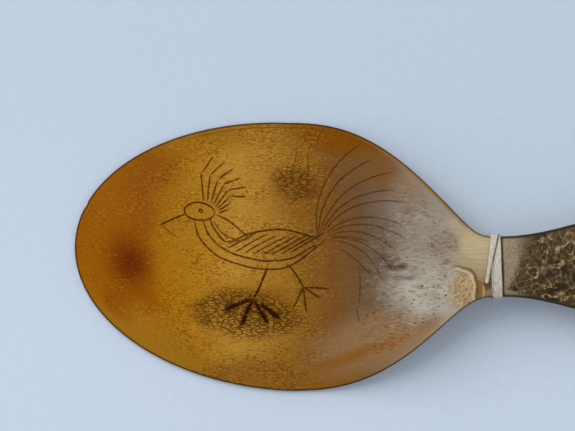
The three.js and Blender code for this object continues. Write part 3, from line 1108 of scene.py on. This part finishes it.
def horn_grain(look, outside):
    """Fine grain all over the clear horn, dark and crazed in two patches. Gives the bump's height."""
    grain = look.noise(2.7, 4, (0.55, 1.3), 0.64, 0.5)
    scratches = look.noise(2.6, 4, (0.12, 1.5), 0.6, 0.3)
    clumps = look.ramp(look.noise(0.22, 3, (0.7, 1.2), 0.6, 0.4), 0.36, 0.64, 0.45, 1.35)
    clear = look.ramp(look.from_tip, 59, 45)
    behind_crest = look.times(look.blob((44.7, 14.6), (7.5, 5.5), -20, 0.25, 0.35), 0.6)
    under_foot = look.blob((34.5, -11.2), (14, 6.5), -4, 0.3, 0.35)
    patch = look.times(look.math("MAXIMUM", behind_crest, under_foot), outside)
    worn = look.times(clear, clumps, look.ramp(look.from_tip, 7, 27, 0.4, 1.0))
    look.tint((98, 50, 1), look.ramp(grain, 0.5, 0.6), worn, look.ramp(patch, 0, 1, 0.52, 0.4))
    look.tint((214, 150, 38), look.ramp(grain, 0.48, 0.38), worn, look.ramp(patch, 0, 1, 0.32, 0.4))
    thin = look.times(look.ramp(scratches, 0.58, 0.68), clear, clumps, look.ramp(patch, 0, 1, 0.3, 0.5))
    look.tint((92, 50, 6), thin)
    look.tint((216, 156, 48), look.ramp(scratches, 0.4, 0.3), clear, clumps, 0.25)

    sway = look.node("TexNoise", {"Vector": look.place, "Scale": 1.3, "Detail": 3.0}, 1)
    bent = look.vector("ADD", look.place, look.vector("MULTIPLY", sway, (1.2, 1.0, 0)))
    gap = look.cells(1.7, (0.42, 1.5), bent, "DISTANCE_TO_EDGE")
    crazing = look.times(look.ramp(gap, 0.17, 0.04), look.ramp(patch, 0.0, 0.75))
    look.tint((204, 152, 60), look.ramp(gap, 0.15, 0.4), patch, 0.22)
    look.tint((86, 43, 2), crazing, 0.85)
    height = look.minus(look.times(grain, clear, look.ramp(patch, 0, 1, -0.5, -2.2)), thin)
    return look.minus(height, look.times(crazing, 2.5))


def chalky_skin(look, edge, outside):
    """The natural skin near the neck: chalk, stains, pores, and a clear margin where the rim was cut.
    Gives where it is, and the bump's depth."""
    way = look.shaken(look.from_tip, 12.0, 0.2, (0.6, 1.2), 4)
    way = look.minus(way, look.ramp(look.y, 4, 19, 0, 10))
    skin = look.times(look.ramp(way, 49, 65), look.ramp(edge, 0.7, 4.0), outside)
    mottle = look.ramp(look.noise(0.42, 3, (0.6, 1), 0.55), 0.2, 0.6)
    look.tint((194, 184, 164), look.blob((70.5, -6.8), (11, 8), -12, 0.25, 0.3), outside, mottle, 0.9)
    look.tint((134, 108, 84), look.blob((74, 2.5), (5, 4), 0, 0.1, 0.4), outside, 0.5)
    look.tint_blobs(SKIN_STAINS, outside, wobble=0.55, size=0.7)
    dashes = look.noise(1.1, 4, (0.45, 1.15), 0.65, 0.5)
    look.tint((118, 92, 74), look.ramp(dashes, 0.52, 0.66), skin, 0.5)
    look.tint((192, 180, 158), look.ramp(dashes, 0.47, 0.3), skin, skin, 0.35)
    look.tint((158, 116, 72), look.blob((66, -16.5), (12, 3.6), 30, 0.35, 0.25), outside, 0.7)
    look.tint((158, 94, 22), look.blob((56.5, -19.4), (17, 1.9), 20, 0.0, 0.35, 0.3), outside, 0.8)
    grain = look.noise(2.3, 4, (0.42, 1.15), 0.68)
    look.tint((84, 62, 50), look.ramp(grain, 0.52, 0.66), look.ramp(skin, 0.2, 1.0), 0.5)
    look.tint((204, 194, 176), look.ramp(grain, 0.46, 0.32), skin, skin, 0.28)
    pores = look.times(look.ramp(look.cells(0.8, (0.7, 1.1)), 0.2, 0.12), skin)
    pores = look.times(pores, look.ramp(look.noise(0.5, 2), 0.48, 0.62))
    look.tint((66, 50, 40), pores, 0.8)
    return skin, look.times(look.plus(look.times(grain, skin), pores), 0.8)


def carved_neck(look, carved):
    """The carved neck's long fibres, on a straw tone that darkens towards the low side as painted shade.
    Gives the bump's height.
    """
    fibres = look.noise(2.3, 4, (0.07, 1), 0.6)
    # Painted shade: the straw tone darkens towards the low (-Y) side, where the rounded neck turns away from
    # the light.
    straw = look.mix(look.ramp(look.shaken(look.y, 2.0, 0.5), -8.0, 1.5), (150, 121, 84), (196, 172, 132))
    straw = look.mix(look.times(look.ramp(fibres, 0.5, 0.7), 0.4), straw, (140, 108, 72))
    straw = look.mix(look.times(look.ramp(fibres, 0.45, 0.3), 0.3), straw, (218, 198, 160))
    look.tint(straw, carved)
    return look.times(fibres, carved, 0.6)


def warty_tongue(look, carved, outside):
    """The warty end of the natural skin that laps onto the neck, with a painted highlight along its raised
    edge and a painted shadow below its step.
    """
    slanted = look.node("VectorRotate", {"Vector": look.place, "Angle": WART_TURN}, rotation_type="Z_AXIS")
    warts = look.noise(2.2, 4, (0.5, 1.4), 0.65, 0.4, slanted)
    tan = look.mix(look.ramp(warts, 0.34, 0.6), (128, 94, 56), (206, 174, 122))
    lap = look.times(look.blob((77.8, -6.6), (4.6, 5.8), 0, 0.35, 0.25), outside)
    look.tint(tan, lap, look.minus(1.0, carved), 0.85)
    tongue = look.number("tongue")
    from_neck = look.times(look.ramp(look.from_tip, 74.5, 77), outside)
    # Painted highlight on the tongue's raised edge, then painted shadow where it steps down to the neck.
    look.tint((222, 198, 150), look.near(tongue, 0.91, 0.05, 0.01), from_neck, 0.7)
    look.tint((92, 62, 28), look.near(tongue, 1.02, 0.06, 0.02), from_neck, 0.65)


def beside_binding(look, outside):
    """Painted shade along the strip's side, and the broken chip."""
    # Painted shade: the neck darkened beside the binding strip, where the strip shades it.
    painted_strip_shade = look.ramp(look.plus(look.x, look.times(look.y, STRAND_SLANT)), *STRIP_SHADE_X)
    look.tint((54, 40, 28), painted_strip_shade, look.ramp(look.y, 1.5, -1.0), outside, 0.85)
    look.tint((118, 88, 56), look.number("chip"), 0.9)


def cut_rim(look, edge, outside):
    """The rim: a dark edge line, partly the cut horn's own colour and partly painted contact shade where the
    rim meets the floor, with an olive bevel along one side and painted light in bright margins where light
    comes through the horn.
    """
    # Painted light: bright golden margins inside the lower rim, where light comes through the horn.
    look.tint((176, 122, 26), look.blob((13, -18), (20, 13), -40, 0.3), look.ramp(edge, 3.2, 0.8), 0.7)
    amber = look.times(look.blob((69, 14), (20, 10), -45, 0.3), outside)
    look.tint((150, 104, 42), amber, look.ramp(edge, 1.1, 0.45), 0.7)
    begun = look.ramp(look.from_tip, *BEVEL_STARTS)
    ended = look.ramp(look.from_tip, *BEVEL_ENDS)
    bevel = look.times(begun, look.minus(1.0, ended), look.ramp(look.y, *BEVEL_SIDE_Y), outside)
    look.tint((104, 62, 6), look.near(edge, 1.0, 0.2, 0.05), bevel, 0.55)
    # A dark line along the rim: partly the cut edge's own colour, partly painted contact shade where the rim
    # sits on the floor.
    dark_rim_and_shade = look.mix(look.ramp(look.from_tip, 55, 73), (70, 34, 2), (98, 66, 24))
    look.tint(dark_rim_and_shade, look.ramp(edge, 0.46, 0.24), 0.82)


def bowl_look():
    scattering = {"Subsurface_Weight": 0.03, "Subsurface_Scale": 0.0015, "Subsurface_Radius": (1.0, 0.5, 0.2)}
    look = Look("bowl_horn", IOR=1.54, Specular_IOR_Level=0.025, **scattering)
    edge = look.number("edge")
    outside = look.minus(1.0, look.number("under"))
    horn_ground(look, outside)
    height = horn_grain(look, outside)
    skin, depth = chalky_skin(look, edge, outside)
    carved = look.times(look.number("carved"), outside)
    height = look.plus(look.minus(height, depth), carved_neck(look, carved))
    warty_tongue(look, carved, outside)
    beside_binding(look, outside)
    cut_rim(look, edge, outside)
    look.tint((80, 42, 4), look.number("burn"), 0.75)
    look.tint((60, 23, 0), look.number("cut"))
    return look.finish(look.ramp(skin, 0.0, 1.0, 0.42, 0.68), height, 0.06)


# The handle's natural skin, from its pits to the tops of its ridges: its own tone, with painted shade in the
# pits and cracks and a painted highlight on the ridge tops.
RELIEF_BANDS = (
    (-0.9, (46, 43, 44)),
    (-0.55, (48, 37, 24)),
    (-0.3, (62, 47, 27)),
    (0.0, (83, 66, 38)),
    (0.3, (102, 82, 48)),
    (0.65, (136, 112, 72)),
    (0.9, (178, 152, 106)),
)


def handle_look():
    look = Look("handle_horn", IOR=1.5, Specular_IOR_Level=0.15)
    skin = look.number("skin")
    fibres = look.noise(1.8, 4, (0.08, 1), 0.6)
    lighter = look.ramp(fibres, 0.3, 0.7)
    speckle = look.noise(3.0, 4, (0.8, 1.2), 0.7)
    collar = look.mix(look.ramp(speckle, 0.35, 0.65), (136, 116, 88), (168, 148, 120))
    brown = look.mix(lighter, (74, 52, 28), (108, 80, 46))
    relief = look.plus(look.number("relief"), look.times(look.minus(speckle, 0.5), 1.7))
    rust = look.times(look.ramp(look.noise(0.45, 3), 0.54, 0.68), 0.45)
    # The skin's own tone plus painted shade and highlight: dark in the pits and cracks, light on the ridge
    # tops.
    natural = look.mix(rust, look.bands(relief, -1, 1, RELIEF_BANDS), (96, 66, 34))
    scraped = look.mix(lighter, (78, 54, 28), (124, 92, 54))
    look.colour = look.mix(look.ramp(look.shaken(look.x, 1.5, 0.6), -8.0, -4.0), collar, brown)
    look.tint(natural, look.ramp(look.shaken(skin, 1.8, 2.6), -0.05, 1.0))
    look.tint(scraped, look.ramp(look.number("under"), 0.3, 0.7))
    slanted = look.plus(look.x, look.times(look.y, STRAND_SLANT))
    # Painted shadow: a dark line on the handle just past the binding, where the strip's edge shades it.
    look.tint((40, 28, 16), look.ramp(look.shaken(slanted, 0.25, 0.9), *STRIP_SHADOW_X), 0.85)
    # Painted shade: the handle's rounded top edges darkened where they turn away from the light.
    look.tint((28, 19, 10), look.ramp(look.number("edge"), 0.65, 0.3), 0.9)
    height = look.plus(look.times(speckle, look.ramp(skin, 0, 1, 0.3, 1.0)), look.times(fibres, 0.3))
    return look.finish(look.ramp(skin, 0.0, 1.0, 0.5, 0.7), height, 0.14)


def resin_look():
    look = Look("resin", IOR=1.5, Transmission_Weight=0.1, Subsurface_Weight=0.15, Subsurface_Scale=0.0008)
    pale = look.ramp(look.shaken(look.from_tip, 0.6, 1.1), 80.9, 81.8)
    look.colour = look.mix(pale, (146, 100, 36), (206, 172, 120))
    return look.finish(look.ramp(look.noise(1.2, 3), 0.3, 0.7, 0.12, 0.3), look.noise(2.0, 2), 0.04)


def strip_look():
    look = Look("strip", IOR=1.45, Subsurface_Weight=0.05, Subsurface_Scale=0.0004)
    across = look.number("across")
    place = look.node("CombineXYZ", {0: across, 1: look.times(look.number("along"), 0.16), 2: 0.0})
    fibres = look.noise(5.5, 4, place=place, roughness=0.6)
    look.colour = look.mix(look.ramp(fibres, 0.28, 0.72), (178, 166, 146), (232, 220, 200))
    look.tint((178, 160, 126), look.ramp(look.noise(1.1, 3), 0.5, 0.75), 0.5)
    # Painted shade: the strip's long edges darkened where its rounded section turns away from the light.
    look.tint((98, 84, 62), look.ramp(look.math("ABSOLUTE", across), 0.8, 0.98), 0.75)
    look.tint((58, 48, 34), look.number("shade"), 0.85)
    # Painted shade: the strip darker towards the low (-Y) side, where it turns down round the neck away from
    # the light.
    look.tint((128, 124, 114), look.ramp(look.y, -5.5, -9.0), 0.45)
    return look.finish(look.ramp(fibres, 0.3, 0.7, 0.9, 0.7), fibres, 0.1)


def floor_look():
    look = Look("pale_floor", IOR=1.4)
    paper = look.noise(0.6, 5, roughness=0.6)
    tooth = look.ramp(paper, 0.3, 0.7)
    cool = look.mix(tooth, (200, 212, 226), (203, 215, 229))
    pale = look.mix(tooth, (212, 221, 234), (215, 224, 237))
    # Painted light: the floor is paler towards the front (-Y) and darker towards the back, standing in for
    # uneven room light.
    look.colour = look.mix(look.ramp(look.y, 50, -35), cool, pale)
    return look.finish(look.ramp(paper, 0.3, 0.7, 0.7, 0.8), paper, 0.02)


# ---- the scene

FRAME_WIDTH = 115.0
VIEW_X = -52.3
VIEW_Y = 8.3
VIEW_PLANE_Z = 3.0
LENS = 200.0
SENSOR = 36.0


def add_camera():
    data = bpy.data.cameras.new("camera")
    data.lens = LENS
    data.sensor_width = SENSOR
    data.clip_end = 10
    camera = bpy.data.objects.new("camera", data)
    bpy.context.scene.collection.objects.link(camera)
    height = FRAME_WIDTH * LENS / SENSOR + VIEW_PLANE_Z
    camera.location = (VIEW_X * MM, VIEW_Y * MM, height * MM)
    bpy.context.scene.camera = camera


def add_light(name, place, size, power, colour):
    data = bpy.data.lights.new(name, "AREA")
    data.size = size
    data.energy = power
    data.color = colour
    light = bpy.data.objects.new(name, data)
    bpy.context.scene.collection.objects.link(light)
    light.location = place
    aim = Vector((VIEW_X * MM, 0, 0)) - light.location
    light.rotation_euler = aim.to_track_quat("-Z", "Y").to_euler()


def add_surroundings():
    scene = bpy.context.scene
    scene.view_settings.view_transform = "Standard"
    world = bpy.data.worlds.new("world")
    scene.world = world
    world.use_nodes = True
    background = world.node_tree.nodes["Background"]
    background.inputs["Color"].default_value = (0.86, 0.92, 1.0, 1)
    background.inputs["Strength"].default_value = 0.58
    add_light("window", (-0.5, 0.6, 0.8), 0.9, 7.2, (0.95, 0.98, 1.0))
    mesh = bpy.data.meshes.new("floor")
    half = 1.5
    below = -0.00004
    around = [(-half, -half, below), (half, -half, below), (half, half, below), (-half, half, below)]
    mesh.from_pydata(around, [], [(0, 1, 2, 3)])
    floor = bpy.data.objects.new("floor", mesh)
    scene.collection.objects.link(floor)
    mesh.materials.append(floor_look())


def place_piece(piece, node, material):
    piece.data.materials.clear()
    piece.data.materials.append(material)
    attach(piece, "root")
    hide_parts(node)


add_camera()
add_surroundings()
place_piece(bowl_piece(), "bowl", bowl_look())
place_piece(handle_piece(), "handle", handle_look())
place_piece(resin_piece(), "lap_resin", resin_look())
place_piece(binding_piece(), "neck_binding", strip_look())
